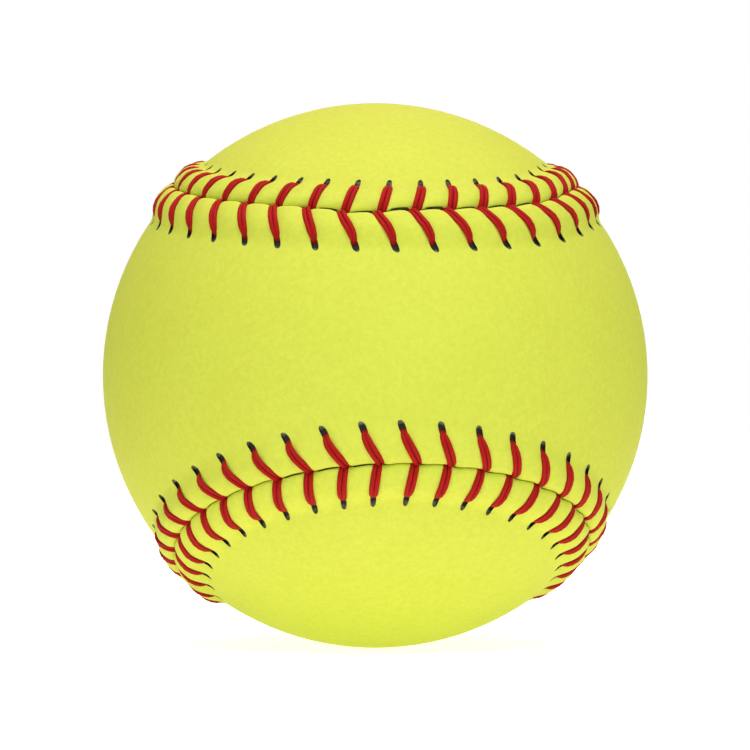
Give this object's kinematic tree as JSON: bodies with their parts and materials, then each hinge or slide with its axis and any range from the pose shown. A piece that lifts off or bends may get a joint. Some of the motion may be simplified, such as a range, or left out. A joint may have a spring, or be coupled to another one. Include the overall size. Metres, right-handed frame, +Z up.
{
  "type": "softball",
  "caption": "Round leather-covered fastpitch ball with a raised laced seam between interlocking panels over a solid moulded core, for pitching, throwing and batting.",
  "frame": {"origin": "middle of the ball", "axes": "+Z up as the ball lies in the picture, -Y towards the viewer, +X to the viewer's right; the front panel's narrow middle faces -Y and a little up"},
  "size_m": [0.097, 0.098, 0.097],
  "materials": {
    "core": "moulded polyurethane, matt",
    "leather": "optic yellow, fine grain, low sheen",
    "thread": "red waxed thread"
  },
  "bodies": {
    "root": {"core": "core", "cover_panel_front": "leather", "cover_panel_rear": "leather", "lacing_thread_1": "thread", "lacing_thread_2": "thread"}
  },
  "joints": []
}
